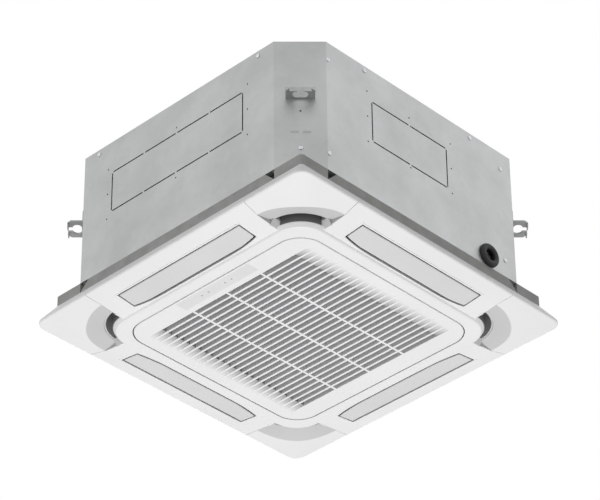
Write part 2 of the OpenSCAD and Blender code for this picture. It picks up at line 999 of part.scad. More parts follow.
// Float switch beside the pump: a stem with two stops, and the float that slides between them
float_r = 11;
float_h = 14;
stem_r = 3.5;
float_bore_r = stem_r + run;
stop_r = 6;
stop_t = 2;
float_travel = 8;
float_z0 = pan_sump_z + stop_t;
arm_t = 4;
arm_r = 4.5;

module float_switch() {
    top_stop_z = float_z0 + fit + float_h + float_travel + fit;
    color("#f0f0ee") {
        translate([float_x, float_y, 0]) {
            tube_between(stem_r, pan_sump_z, top_stop_z + stop_t);
            tube_between(stop_r, pan_sump_z, pan_sump_z + stop_t);
            tube_between(stop_r, top_stop_z, top_stop_z + stop_t);
        }
        slab(top_stop_z + stop_t, top_stop_z + stop_t + arm_t)
            difference() {
                hull() {
                    translate([float_x, float_y])
                        circle(arm_r, $fn = small);
                    translate([pump_x, pump_y])
                        circle(arm_r, $fn = small);
                }
                translate([pump_x, pump_y])
                    circle(pump_r, $fn = fine);
            }
    }
}

module float_ring() {
    color("#e8b23a")
        translate([float_x, float_y, 0])
            difference() {
                tube_between(float_r, float_z0 + fit, float_z0 + fit + float_h);
                tube_between(float_bore_r, float_z0, float_z0 + float_h + overrun);
            }
}

// Control box beside the bellmouth, under the pan: a tray that opens downwards, closed by a cover
box_x0 = 136;
box_x1 = well_half - fit;
box_half_l = 120;
box_z0 = 34;
box_z1 = pan_z0 - bell_t;
box_t = 1.5;
board_t = 1.6;

module control_box() {
    color("#b4b6b6")
        difference() {
            slab(box_z0, box_z1)
                span(box_x0, box_x1, -box_half_l, box_half_l);
            slab(box_z0 - overrun, box_z1 - box_t)
                span(box_x0 + box_t, box_x1 - box_t, box_t - box_half_l, box_half_l - box_t);
        }
}

module control_cover() {
    color("#c4c6c6")
        slab(box_z0 - box_t, box_z0)
            span(box_x0, box_x1, -box_half_l, box_half_l);
}

terminal_l = 60;
terminal_w = 22;
terminal_h = 18;
terminal_pole = 10;

module terminal_block() {
    x0 = box_x1 - box_t - terminal_w;
    z0 = box_z1 - box_t - terminal_h;
    color("#2f3133")
        difference() {
            slab(z0, box_z1 - box_t)
                span(x0, x0 + terminal_w - fit, 0, terminal_l);
            for (i = [0:terminal_l / terminal_pole - 1])
                slab(z0 - overrun, z0 + terminal_h / 3)
                    span(x0 + box_t, x0 + terminal_w - 2 * box_t, (i + 0.5) * terminal_pole - board_t,
                        (i + 0.5) * terminal_pole + board_t);
        }
}

// Fascia frame
flange_top_r = 6;

module flange_loft(inset) {
    hull() {
        slab(shelf_z, shelf_z + run)
            rounded_square(fascia_half - inset, fascia_corner_r - inset);
        slab(ledge_z - run, ledge_z)
            rounded_square(cabinet_half - inset, flange_top_r - inset);
    }
}

// Face of one side between the two corner seams, with the rounded rim
module face_profile() {
    inner = outlet_inner - wall_t;
    edge = fascia_half - rim_round;
    polygon([[inner, face_z(inner)], [crease_half, crease_z], [edge, face_z(edge)],
        [fascia_half - rim_round / 3, rim_z + rim_round / 4], [fascia_half, rim_z + rim_round],
        [fascia_half, shelf_z], [fascia_half - wall_t, shelf_z],
        [crease_half, crease_z + wall_t], [inner, face_z(inner) + wall_t]]);
}

module face_plan() {
    x = fascia_half + overrun;
    polygon([[ring_half, -seam_crease_y], [crease_half, -seam_crease_y], [x, -seam_rim_y],
        [x, seam_rim_y], [crease_half, seam_crease_y], [ring_half, seam_crease_y]]);
}

module duct_profile(grow) {
    polygon([[outlet_inner - grow, foot_z], [outlet_outer + grow, foot_z], [outlet_outer + grow, duct_z],
        [duct_top_outer + grow, ledge_z - wall_t], [duct_top_outer + grow, pan_z0],
        [duct_top_inner - grow, pan_z0], [outlet_inner - grow, duct_z]]);
}

// The outlet's edge beside the ring runs straight and bows outwards near its ends
module bow_plan(inner) {
    r = bow_r + vane_inner - inner;
    c = vane_inner + bow_r;
    for (y = [-1, 1])
        translate([c, y * bow_start])
            circle(r, $fn = 4 * fine);
    translate([inner, -bow_start])
        square([2 * r, 2 * bow_start]);
}

module outlet_plan() {
    intersection() {
        span(outlet_inner, outlet_outer, -outlet_half_l, outlet_half_l);
        bow_plan(outlet_inner);
    }
}

module ring_wall_profile() {
    t = wall_t;
    foot = ring_foot_r - ring_edge_r;
    polygon([[foot - t, 0], [foot, 0], [ring_foot_r, ring_edge_r / 2],
        [ring_top_r, ring_h], [ring_top_r, shelf_z], [ring_top_r - t, shelf_z],
        [ring_top_r - t, ring_h + t / 2], [ring_foot_r - t, t], [foot - t, t]]);
}

module pocket_side() {
    across_side(ring_half, arc_centre + slot_tower_r - run)
        polygon([[seam_crease_y - wall_t, foot_z], [seam_crease_y, foot_z + run],
            [arc_centre + slot_r1 * sin(slot_end_angle), pocket_roof_z],
            [arc_centre + slot_r1 * sin(slot_end_angle), shelf_z], [seam_crease_y - wall_t, shelf_z]]);
    translate([0, seam_crease_y - wall_t / 2, 0])
        along_side(wall_t)
            polygon([[ring_half, face_z(ring_half)], [crease_half, crease_z],
                [fascia_half - wall_t, rim_z + run], [fascia_half - wall_t, shelf_z + shelf_t],
                [ring_half, shelf_z + shelf_t]]);
}

module slot_tower() {
    translate([arc_centre, arc_centre, 0])
        difference() {
            rotate_extrude(angle = 90, $fn = fine)
                translate([slot_r0 - wall_t, pocket_roof_z])
                    square([slot_tower_r - slot_r0 + wall_t, pan_z0 - pocket_roof_z]);
            translate([-arc_centre, -arc_centre, 0])
                corner_slot(pocket_roof_z - overrun, pan_z0 + overrun);
        }
}

boss_wall = 4;
shelf_edge = 1;
shelf_half = fascia_half - wall_t - shelf_edge;
shelf_cut = 20;

module corner_shelf() {
    a = arc_centre - wall_t;
    slab(shelf_z, shelf_z + shelf_t)
        difference() {
            polygon([[a, a], [shelf_half, a], [shelf_half, shelf_half - shelf_cut],
                [shelf_half - shelf_cut, shelf_half], [a, shelf_half]]);
            translate([arc_centre, arc_centre])
                circle(slot_tower_r - run, $fn = fine);
            span(0, arc_centre, 0, arc_centre);
        }
    translate([bolt_d, bolt_d, 0])
        tube_between(bolt_r + boss_wall, shelf_z, pan_z0);
}

hinge_inset = 30.5;
hinge_y = well_half - hinge_inset;
hinge_z = 6;
hinge_pin_r = 1.8;
hinge_x = 150;
hinge_eye = 3.1;
hinge_bar = 2.8;
hinge_lug_w = 4;
hinge_arm_z = 26;
hinge_arm_t = 10;

// Eye of the grille hinge: a narrow bar that hangs from an arm on the well's wall
module hinge_eye_bar() {
    translate([0, hinge_y, hinge_z])
        rotate([0, 90, 0])
            cylinder(r = hinge_eye, h = hinge_lug_w, center = true, $fn = fine);
    translate([-hinge_lug_w / 2, 0, 0])
        across_side(0, hinge_lug_w)
            polygon([[hinge_y - hinge_bar, hinge_z], [hinge_y + hinge_bar, hinge_z],
                [hinge_y + hinge_bar, hinge_arm_z], [well_half + wall_t / 2, hinge_arm_z],
                [well_half + wall_t / 2, hinge_arm_z + hinge_arm_t],
                [hinge_y - hinge_bar, hinge_arm_z + hinge_arm_t]]);
}

vane_wall = wall_t;

module panel_frame() {
    color("#ececec")
        difference() {
            union() {
                difference() {
                    flange_loft(0);
                    flange_loft(wall_t);
                    slab(ledge_z - wall_t, ledge_z)
                        rounded_square(cabinet_half - wall_t, flange_top_r - wall_t);
                }
                slab(ledge_z - wall_t, ledge_z)
                    difference() {
                        rounded_square(cabinet_half, flange_top_r);
                        rounded_square(duct_top_outer, flange_top_r);
                    }
                four_times() {
                    difference() {
                        intersection() {
                            along_side(2 * seam_rim_y)
                                face_profile();
                            slab(0, fascia_drop)
                                face_plan();
                        }
                        slab(0, duct_z)
                            outlet_plan();
                    }
                    difference() {
                        along_side(2 * (outlet_half_l + vane_wall))
                            intersection() {
                                duct_profile(wall_t);
                                translate([0, crease_z])
                                    square([fascia_half, pan_z0 - crease_z]);
                            }
                        along_side(2 * outlet_half_l)
                            duct_profile(0);
                    }
                    for (side = [0, 1])
                        mirror([0, side, 0])
                            pocket_side();
                    slot_tower();
                    corner_shelf();
                }
                difference() {
                    union() {
                        round_square(arc_centre)
                            ring_wall_profile();
                        slab(0, wall_t)
                            rounded_square(ring_half - ring_edge_r, ring_foot_r - ring_edge_r);
                    }
                    slab(-overrun, fascia_drop)
                        rounded_square(well_half, well_corner_r);
                }
                slab(0, ledge_z)
                    difference() {
                        rounded_square(well_half + wall_t, well_corner_r + wall_t);
                        rounded_square(well_half, well_corner_r);
                    }
                for (x = [-hinge_x, hinge_x])
                    translate([x, 0, 0])
                        hinge_eye_bar();
            }
            four_times() {
                translate([pivot_r, 0, pivot_z])
                    rotate([90, 0, 0])
                        cylinder(r = vane_pin_r + run, h = 2 * (outlet_half_l + vane_wall + overrun),
                            center = true, $fn = fine);
                translate([bolt_d, bolt_d, shelf_z - overrun])
                    cylinder(r = bolt_r + fit, h = pan_z0, $fn = small);
            }
            translate([0, hinge_y, hinge_z])
                rotate([0, 90, 0])
                    cylinder(r = hinge_pin_r + run, h = 2 * (hinge_x + hinge_lug_w), center = true,
                        $fn = fine);
        }
}

module panel_screws() {
    color("#c4c7c9")
        four_times()
            translate([bolt_d, bolt_d, 0]) {
                tube_between(bolt_head_r, shelf_z - bolt_head_h, shelf_z);
                tube_between(bolt_r, shelf_z - bolt_head_h, pan_z0 + bolt_bite - fit);
            }
}

// Sealing blocks between the fascia's ledge and the cabinet
seal_t = 12;
seal_foot_l = 225;
seal_top_l = 205;
seal_corner_gap = 0.4;

module side_seal(k) {
    color("#8b8a88")
        turned(k)
            across_side(cabinet_half - seal_t, cabinet_half)
                polygon([[-seal_foot_l, ledge_z], [seal_foot_l, ledge_z], [seal_top_l, fascia_drop],
                    [-seal_top_l, fascia_drop]]);
}

module corner_seal(k) {
    start = seal_foot_l + seal_corner_gap;
    color("#8b8a88")
        turned(k)
            slab(ledge_z, fascia_drop)
                intersection() {
                    difference() {
                        rounded_square(cabinet_half, flange_top_r);
                        span(0, cabinet_half - seal_t, 0, cabinet_half - seal_t);
                    }
                    span(start, cabinet_half, start, cabinet_half);
                }
}

// Corner cover: a lofted plate from the rim's corner to the pocket's arc, and the pocket's sloping wall
cap_steps = 10;
cap_apex_z = 4.2;
cap_inner_r = slot_tower_r + fit;
cap_inner_z = 14.2;
cap_start = seam_rim_y + seam_gap;
function blend(a, b, t) = a + (b - a) * t;
function rim_point(t, inset) =
    let (half = fascia_half - inset, r = fascia_corner_r - inset, c = fascia_half - fascia_corner_r)
    t < 1 / 3 ? [half, blend(cap_start, c, 3 * t)]
    : t > 2 / 3 ? [blend(c, cap_start, 3 * t - 2), half]
    : [c + r * cos(90 * (3 * t - 1)), c + r * sin(90 * (3 * t - 1))];
function arc_start_angle() = asin((seam_crease_y + seam_gap - arc_centre) / pocket_r);
function cap_angle(t) =
    let (p = rim_point(t, 0), a = atan2(p[1] - arc_centre, p[0] - arc_centre),
         a0 = atan2(cap_start - arc_centre, fascia_half - arc_centre))
    blend(arc_start_angle(), 90 - arc_start_angle(), (a - a0) / (90 - 2 * a0));
function arc_point(r, a) = [arc_centre + r * cos(a), arc_centre + r * sin(a)];
function cap_crease_z(a) = crease_z - (crease_z - cap_apex_z) * (1 - cos(4 * a)) / 2;
function with_z(p, z) = [p[0], p[1], z];
function cap_section(t) =
    let (a = cap_angle(t), z = cap_crease_z(a))
    [with_z(rim_point(t, 0), shelf_z), with_z(rim_point(t, 0), rim_z + rim_round),
     with_z(rim_point(t, rim_round / 3), rim_z + rim_round / 4),
     with_z(rim_point(t, rim_round), face_z(fascia_half - rim_round)),
     with_z(arc_point(pocket_r, a), z), with_z(arc_point(cap_inner_r, a), cap_inner_z),
     with_z(arc_point(cap_inner_r, a), cap_inner_z + cap_t), with_z(arc_point(pocket_r, a), z + cap_t),
     with_z(rim_point(t, wall_t), shelf_z)];

// The nine points of a section as the seven triangles that close each end
cap_end_faces = [[0, 1, 8], [1, 2, 8], [2, 3, 8], [3, 4, 7], [3, 7, 8], [4, 5, 6], [4, 6, 7]];

module corner_cap(k) {
    sections = [for (i = [0:3 * cap_steps]) cap_section(i / (3 * cap_steps))];
    n = len(sections[0]);
    m = len(sections);
    points = [for (s = sections, p = s) p];
    sides = [for (i = [0:m - 2], j = [0:n - 1]) let (a = i * n + j, b = i * n + (j + 1) % n)
        each [[a, b, b + n], [a, b + n, a + n]]];
    first = [for (t = cap_end_faces) [t[0], t[2], t[1]]];
    last = [for (t = cap_end_faces) [for (j = t) (m - 1) * n + j]];
    color("#f0f0f0")
        turned(k)
            polyhedron(points = points, faces = concat(sides, first, last));
}

// Vane: a thin blade with rounded edges, two ears and a pin at each end
vane_edge_r = 1;
ear_t = 4;
ear_r = 4.5;
pin_reach = 4;

module vane_profile() {
    z0 = face_z(vane_outer);
    z1 = face_z(vane_inner);
    e = vane_edge_r;
    polygon([[vane_outer - e, z0], [vane_outer, z0 + e], [vane_outer, z0 + vane_t - e],
        [vane_outer - e, z0 + vane_t], [vane_inner + e, z1 + vane_t], [vane_inner, z1 + vane_t - e],
        [vane_inner, z1 + e], [vane_inner + e, z1]]);
}

module vane(k) {
    color("#d9d9d9")
        turned(k) {
            intersection() {
                along_side(vane_l)
                    vane_profile();
                slab(0, pivot_z)
                    bow_plan(vane_inner);
            }
            for (side = [-1, 1])
                translate([0, side * (vane_l - ear_t) / 2, 0])
                    along_side(ear_t) {
                        translate([pivot_r, pivot_z])
                            circle(ear_r, $fn = small);
                        translate([pivot_r - ear_r, face_z(pivot_r) + vane_t / 2])
                            square([2 * ear_r, pivot_z - face_z(pivot_r) - vane_t / 2]);
                    }
            translate([pivot_r, 0, pivot_z])
                rotate([-90, 0, 0]) {
                    translate([0, 0, vane_l / 2 - run])
                        cylinder(r = vane_pin_r, h = vane_gap + vane_wall + pin_reach, $fn = small);
                    translate([0, 0, -vane_l / 2 - vane_gap - vane_wall])
                        cylinder(r = vane_pin_r, h = vane_gap + vane_wall + run, $fn = small);
                }
        }
}

// Stepper motor of a vane, on the outlet's end wall, with its hub on the vane's pin
vane_motor_r = 12;
vane_motor_l = 18;
vane_motor_offset = 8;
vane_motor_ear = 17;
vane_motor_ear_t = 1.5;
vane_hub_wall = 1.2;
vane_hub_past = 2;

module vane_motor(k) {
    y0 = outlet_half_l + vane_wall;
    color("#d5d6d6")
        turned(k)
            difference() {
                union() {
                    translate([pivot_r, y0, pivot_z + vane_motor_offset])
                        rotate([-90, 0, 0]) {
                            cylinder(r = vane_motor_r, h = vane_motor_l, $fn = fine);
                            translate([-vane_motor_ear, -screw_head_r, 0])
                                cube([2 * vane_motor_ear, 2 * screw_head_r, vane_motor_ear_t]);
                        }
                    translate([pivot_r, y0, pivot_z])
                        rotate([-90, 0, 0])
                            cylinder(r = vane_pin_r + run + vane_hub_wall, h = pin_reach + vane_hub_past,
                                $fn = small);
                }
                translate([pivot_r, y0 - overrun, pivot_z])
                    rotate([-90, 0, 0])
                        cylinder(r = vane_pin_r + run, h = pin_reach + overrun + fit, $fn = fine);
            }
}

// Intake grille
display_w = 166;
display_d = 23;
display_y = -189.5;
display_t = 1.5;
slot_l = (slot_row_l - 3 * rib_w) / 4;
slot_w = slot_pitch - slat_w;
slots_mid_y = 1.5;
slots_y0 = slots_mid_y - slot_pitch * (slot_rows - 1) / 2;
fade_l = 34;
fade_depth = 1.6;
grille_edge = 1.2;
lug_x = hinge_x - hinge_lug_w / 2 - fit;
lug_t = 4;
keeper_gap = 0.6;
keeper_t = 2;

module slot_box(y) {
    for (i = [0:3])
        translate([-slot_row_l / 2 + i * (slot_l + rib_w), y - slot_w / 2, -overrun])
            cube([slot_l, slot_w, slat_h + 2 * overrun]);
}

// A groove that starts full depth at the end of a slot row and runs out to nothing
module fade_groove(y) {
    for (side = [0, 1])
        mirror([side, 0, 0])
            translate([slot_row_l / 2, y + slot_w / 2, 0])
                rotate([90, 0, 0])
                    linear_extrude(height = slot_w)
                        polygon([[0, -overrun], [fade_l, -overrun], [fade_l, 0], [0, fade_depth]]);
}

module grille_face() {
    slab(0, grille_edge)
        rounded_square(grille_half - grille_edge / 2, grille_corner_r - grille_edge / 2);
    slab(grille_edge, grille_t)
        rounded_square(grille_half, grille_corner_r);
}

module intake_grille() {
    block_y0 = slots_y0 - slot_pitch / 2;
    block_y1 = slots_y0 + slot_pitch * (slot_rows - 0.5);
    color("#ececec")
        difference() {
            union() {
                grille_face();
                slab(0, slat_h)
                    span(-slot_row_l / 2 - rib_w, slot_row_l / 2 + rib_w, block_y0, block_y1);
                for (x = [-latch_x, latch_x])
                    translate([x - latch_w / 2, latch_t + keeper_gap - well_half, grille_edge])
                        cube([latch_w, keeper_t, latch_z1 - grille_edge]);
                for (side = [-1, 1]) {
                    translate([side * (lug_x - lug_t / 2) - lug_t / 2, hinge_y - hinge_bar, grille_edge])
                        cube([lug_t, 2 * hinge_bar, hinge_z - grille_edge]);
                    translate([side * (lug_x - lug_t / 2), hinge_y, hinge_z])
                        rotate([0, 90, 0])
                            cylinder(r = hinge_eye, h = lug_t, center = true, $fn = small);
                    translate([side * (lug_x - lug_t / 2), hinge_y, hinge_z])
                        rotate([0, side * 90, 0])
                            cylinder(r = hinge_pin_r, h = lug_t / 2 + fit + hinge_lug_w, $fn = small);
                }
            }
            for (i = [0:slot_rows - 1]) {
                slot_box(slots_y0 + i * slot_pitch);
                fade_groove(slots_y0 + i * slot_pitch);
            }
            translate([-display_w / 2 - run, display_y - display_d / 2 - run, -overrun])
                cube([display_w + 2 * run, display_d + 2 * run, display_t + overrun]);
        }
}

module display_window() {
    color("#e2e2e2")
        translate([-display_w / 2, display_y - display_d / 2, 0])
            cube([display_w, display_d, display_t]);
}

// Air filter: a thin mesh in a ribbed frame, lying on the slats
filter_half_w = 186;
filter_y0 = -172;
filter_y1 = 173;
filter_frame_w = 10;
filter_frame_t = 5;
filter_mesh_t = 1;
filter_rib_w = 3;

module air_filter() {
    z0 = slat_h;
    color("#5d6a72") {
        slab(z0, z0 + filter_frame_t)
            difference() {
                span(-filter_half_w, filter_half_w, filter_y0, filter_y1);
                span(filter_frame_w - filter_half_w, filter_half_w - filter_frame_w,
                    filter_y0 + filter_frame_w, filter_y1 - filter_frame_w);
            }
        slab(z0, z0 + filter_mesh_t)
            span(-filter_half_w, filter_half_w, filter_y0, filter_y1);
        for (i = [-2:2])
            slab(z0, z0 + filter_frame_t)
                span(i * filter_half_w / 3 - filter_rib_w / 2, i * filter_half_w / 3 + filter_rib_w / 2,
                    filter_y0, filter_y1);
        for (i = [1:3])
            slab(z0, z0 + filter_frame_t)
                span(-filter_half_w, filter_half_w, blend(filter_y0, filter_y1, i / 4) - filter_rib_w / 2,
                    blend(filter_y0, filter_y1, i / 4) + filter_rib_w / 2);
    }
}

// Spring latches on the well's front wall that hold the grille's free edge
latch_x = 120;
latch_w = 20;
latch_z0 = 6;
latch_z1 = 20;
latch_t = 6;

module grille_latches() {
    color("#d8d8d8")
        for (x = [-latch_x, latch_x])
            translate([x, -well_half, 0])
                rotate([90, 0, 90])
                    linear_extrude(height = latch_w, center = true)
                        polygon([[0, latch_z0], [latch_t / 2, latch_z0], [latch_t, latch_z0 + latch_t],
                            [latch_t / 3, latch_z1], [0, latch_z1]]);
}

top_pan();
front_sheet();
right_sheet();
back_sheet();
left_sheet();
corner_post(right_angle, wide_lap, narrow_lap);  // post_right_back
corner_post(back_angle, narrow_lap, narrow_lap);  // post_back_left
corner_post(left_angle, narrow_lap, narrow_lap);  // post_left_front
corner_post(front_angle, narrow_lap, narrow_lap);  // post_front_right
hanger(right_angle);  // hanger_right_back
hanger(back_angle);  // hanger_back_left
hanger(left_angle);  // hanger_left_front
hanger(front_angle);  // hanger_front_right
cabinet_screws();
cable_grommet();
foam_liner();
coil_fins();
coil_tubes();
gas_pipe();
liquid_pipe();
fan_motor();
motor_mounts();
fan_shaft();
turbo_fan();
fan_nut();
bellmouth();
drain_pan();
drain_pump();
drain_outlet();
float_switch();
float_ring();
control_box();
control_cover();
terminal_block();
panel_frame();
panel_screws();
side_seal(front_angle);  // seal_front
side_seal(right_angle);  // seal_right
side_seal(back_angle);  // seal_back
side_seal(left_angle);  // seal_left
corner_seal(right_angle);  // corner_seal_right_back
corner_seal(back_angle);  // corner_seal_back_left
corner_seal(left_angle);  // corner_seal_left_front
corner_seal(front_angle);  // corner_seal_front_right
corner_cap(right_angle);  // corner_cap_right_back
corner_cap(back_angle);  // corner_cap_back_left
corner_cap(left_angle);  // corner_cap_left_front
corner_cap(front_angle);  // corner_cap_front_right
vane(front_angle);  // vane_front
vane(right_angle);  // vane_right
vane(back_angle);  // vane_back
vane(left_angle);  // vane_left
vane_motor(front_angle);  // vane_motor_front
vane_motor(right_angle);  // vane_motor_right
vane_motor(back_angle);  // vane_motor_back
vane_motor(left_angle);  // vane_motor_left
intake_grille();
display_window();
air_filter();
grille_latches();
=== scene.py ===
import math

import bmesh
import bpy
from mathutils import Matrix, Vector


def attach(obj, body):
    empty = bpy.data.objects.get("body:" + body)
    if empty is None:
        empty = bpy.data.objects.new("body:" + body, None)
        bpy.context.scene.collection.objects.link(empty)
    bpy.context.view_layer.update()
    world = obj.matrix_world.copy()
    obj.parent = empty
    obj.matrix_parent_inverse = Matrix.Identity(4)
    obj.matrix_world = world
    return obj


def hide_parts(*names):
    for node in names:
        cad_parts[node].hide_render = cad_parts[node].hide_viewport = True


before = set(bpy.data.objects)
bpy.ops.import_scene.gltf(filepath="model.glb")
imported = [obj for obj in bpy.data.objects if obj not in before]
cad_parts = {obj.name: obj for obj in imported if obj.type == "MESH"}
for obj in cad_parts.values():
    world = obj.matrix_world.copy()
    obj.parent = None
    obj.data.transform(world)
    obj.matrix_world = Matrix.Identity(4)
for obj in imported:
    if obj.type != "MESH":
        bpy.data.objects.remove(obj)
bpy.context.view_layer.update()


# Cabinet: hot-dip galvanised steel, punched and folded into four side sheets, a top pan and
# four corner posts. The zinc freezes into faint flakes, and rolling leaves the face satin.
def linear(hex_colour):
    """An sRGB hex value as the linear colour that a shader socket takes."""
    channels = [int(hex_colour[i:i + 2], 16) / 255 for i in (1, 3, 5)]
    return [c / 12.92 if c <= 0.04045 else ((c + 0.055) / 1.055) ** 2.4 for c in channels] + [1.0]


def add_node(tree, kind, settings, links):
    """One node with its settings, its socket values and what feeds it."""
    node = tree.nodes.new(kind)
    for name, value in settings.items():
        if isinstance(name, int) or name in node.inputs:
            node.inputs[name].default_value = value
        else:
            setattr(node, name, value)
    for name, source in links.items():
        tree.links.new(source, node.inputs[name])
    return node


def new_finish(name):
    """An empty material with its shader: returns the material, its tree and the shader."""
    material = bpy.data.materials.new(name)
    material.use_nodes = True
    return material, material.node_tree, material.node_tree.nodes["Principled BSDF"]


PATCH_EDGE = 0.55
DARK_UP_TO = 0.32
LIGHT_FROM = 0.68


def two_tone(tree, shader, dark, light, patch, detail=3.0):
    """Colour that wanders between two near tones, in patches of a real size in metres."""
    place = add_node(tree, "ShaderNodeTexCoord", {}, {})
    noise = add_node(tree, "ShaderNodeTexNoise",
                     {"Scale": 1 / patch, "Detail": detail, "Roughness": PATCH_EDGE},
                     {"Vector": place.outputs["Object"]})
    tone = add_node(tree, "ShaderNodeValToRGB", {}, {"Fac": noise.outputs["Fac"]})
    low, high = tone.color_ramp.elements
    low.position, high.position = DARK_UP_TO, LIGHT_FROM
    low.color, high.color = linear(dark), linear(light)
    tree.links.new(tone.outputs["Color"], shader.inputs["Base Color"])
    return place, tone


def grain(tree, shader, place, size, height, rough):
    """Fine relief of a real grain size and height in metres, and gloss that changes with it."""
    fine = add_node(tree, "ShaderNodeTexNoise", {"Scale": 1 / size, "Detail": 2.0},
                    {"Vector": place.outputs["Object"]})
    gloss = add_node(tree, "ShaderNodeMapRange", {"To Min": rough[0], "To Max": rough[1]},
                     {"Value": fine.outputs["Fac"]})
    relief = add_node(tree, "ShaderNodeBump", {"Strength": 1.0, "Distance": height},
                      {"Height": fine.outputs["Fac"]})
    tree.links.new(gloss.outputs["Result"], shader.inputs["Roughness"])
    tree.links.new(relief.outputs["Normal"], shader.inputs["Normal"])


def dress(material, *names):
    """Gives CAD nodes this material in every one of their slots."""
    for name in names:
        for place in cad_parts[name].material_slots:
            place.material = material


ZINC_METALLIC = 0.85
FLAKE = 0.011
FLAKE_DIM = 0.975
FLAKE_BRIGHT = 1.02
ROLLED_GRAIN = 0.0016
STEEL_RELIEF = 0.00002

galvanised, tree, shader = new_finish("galvanised_steel_sheet")
shader.inputs["Metallic"].default_value = ZINC_METALLIC
place, tone = two_tone(tree, shader, "#B4B6B6", "#BFC1C1", patch=0.09, detail=2.0)
flakes = add_node(tree, "ShaderNodeTexVoronoi", {"Scale": 1 / FLAKE, "Randomness": 1.0},
                  {"Vector": place.outputs["Object"]})
flake_tone = add_node(tree, "ShaderNodeMapRange", {"To Min": FLAKE_DIM, "To Max": FLAKE_BRIGHT},
                      {"Value": flakes.outputs["Color"]})
flaked = add_node(tree, "ShaderNodeVectorMath", {"operation": "SCALE"},
                  {0: tone.outputs["Color"], "Scale": flake_tone.outputs["Result"]})
tree.links.new(flaked.outputs["Vector"], shader.inputs["Base Color"])
grain(tree, shader, place, size=ROLLED_GRAIN, height=STEEL_RELIEF, rough=(0.42, 0.56))
dress(galvanised, "top_pan", "front_sheet", "right_sheet", "back_sheet", "left_sheet",
      "post_right_back", "post_back_left", "post_left_front", "post_front_right",
      "control_box", "control_cover")


# Knock-out pads: painted shade, black sheets just behind the punched slits of the two duct
# knock-outs, so that the slits show black. The sheets have a soft nap and hardly any gloss.
def new_piece(name, mesh, material, smooth=False):
    """An object of its own from a finished mesh, with one material."""
    data = bpy.data.meshes.new(name)
    mesh.to_mesh(data)
    mesh.free()
    data.materials.append(material)
    if smooth:
        data.shade_smooth()
    piece = bpy.data.objects.new(name, data)
    bpy.context.scene.collection.objects.link(piece)
    return piece


def shade_pad(name, low, high, material):
    """A pad between two corners, with its cut edges rounded."""
    mesh = bmesh.new()
    bmesh.ops.create_cube(mesh, size=1.0)
    size = [high[i] - low[i] for i in range(3)]
    middle = [(high[i] + low[i]) / 2 for i in range(3)]
    bmesh.ops.scale(mesh, vec=size, verts=mesh.verts)
    bmesh.ops.translate(mesh, vec=middle, verts=mesh.verts)
    bmesh.ops.bevel(mesh, geom=mesh.edges[:], offset=PAD_EDGE, segments=PAD_EDGE_STEPS, profile=0.5,
                    affect="EDGES")
    return new_piece(name, mesh, material)


SHEET_NAP = 0.0012
SHEET_SHEEN = 0.1

# Black of painted shade, also used for the sheets inside the four straight ducts.
black_shade_sheet, tree, shader = new_finish("black_painted_shade_sheet")
place, tone = two_tone(tree, shader, "#0B0B0C", "#171718", patch=0.004)
grain(tree, shader, place, size=SHEET_NAP, height=0.0002, rough=(0.9, 1.0))
shader.inputs["Sheen Weight"].default_value = SHEET_SHEEN

PAD_INNER = 0.28245
PAD_OUTER = 0.28365
PAD_EDGE = 0.0004
PAD_EDGE_STEPS = 3
front_pad = shade_pad("front_knockout_shade_sheet", (-0.171, -PAD_OUTER, 0.164), (0.171, -PAD_INNER, 0.278),
                     black_shade_sheet)
right_pad = shade_pad("right_knockout_shade_sheet", (PAD_INNER, -0.136, 0.166), (PAD_OUTER, 0.078, 0.283),
                     black_shade_sheet)
for pad in (front_pad, right_pad):
    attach(pad, "housing")


# Hanger brackets: the same galvanised steel in a thicker gauge, blanked and bent, so a
# little duller and darker than the sheets they are welded to.
bracket_steel, tree, shader = new_finish("galvanised_steel_bracket")
shader.inputs["Metallic"].default_value = ZINC_METALLIC
place, tone = two_tone(tree, shader, "#A3A5A5", "#AFB1B1", patch=0.03, detail=2.0)
grain(tree, shader, place, size=ROLLED_GRAIN, height=STEEL_RELIEF, rough=(0.4, 0.55))
dress(bracket_steel, "hanger_right_back", "hanger_back_left", "hanger_left_front", "hanger_front_right")


# Screws: bright zinc-plated steel with a domed pan head and a cross recess, cold-formed, so
# they are smooth and catch a small sharp highlight.
zinc, tree, shader = new_finish("zinc_plated_steel")
shader.inputs["Metallic"].default_value = 1.0
place, tone = two_tone(tree, shader, "#CDD0D2", "#DCDFE0", patch=0.003)
grain(tree, shader, place, size=0.0009, height=0.00001, rough=(0.22, 0.32))
dress(zinc, "panel_screws", "fan_nut", "fan_shaft")

HEAD_R = 0.004
HEAD_H = 0.002
SHANK_R = 0.002
SHANK_L = 0.0024
RECESS_HALF = 0.00045
RECESS_REACH = 0.0022
RECESS_DEPTH = 0.0009
DOME_POWER = 4
HEAD_RINGS = 12
HEAD_SIDES = 48
TOP_SCREW_Z = 0.3165
RIGHT_SCREWS = [(-0.135, TOP_SCREW_Z), (0.123, TOP_SCREW_Z), (-0.2214, 0.103), (-0.2214, 0.291),
                (0.199, 0.103), (0.199, 0.291)]
OTHER_SCREWS = [(-0.1895, TOP_SCREW_Z), (0.1895, TOP_SCREW_Z)]
CHAMFER_SCREW_Z = 0.112
SHEET_FACE = 0.285
CHAMFER_FACE = 0.510 / math.sqrt(2)


def head_height(x, y):
    """Height of a pan head over its seat at a place on it, with the cross pressed in."""
    share = min(math.hypot(x, y) / HEAD_R, 1.0)
    dome = HEAD_H * math.sqrt(1 - share ** DOME_POWER)
    in_cross = min(abs(x), abs(y)) < RECESS_HALF and max(abs(x), abs(y)) < RECESS_REACH
    return dome - RECESS_DEPTH if in_cross else dome


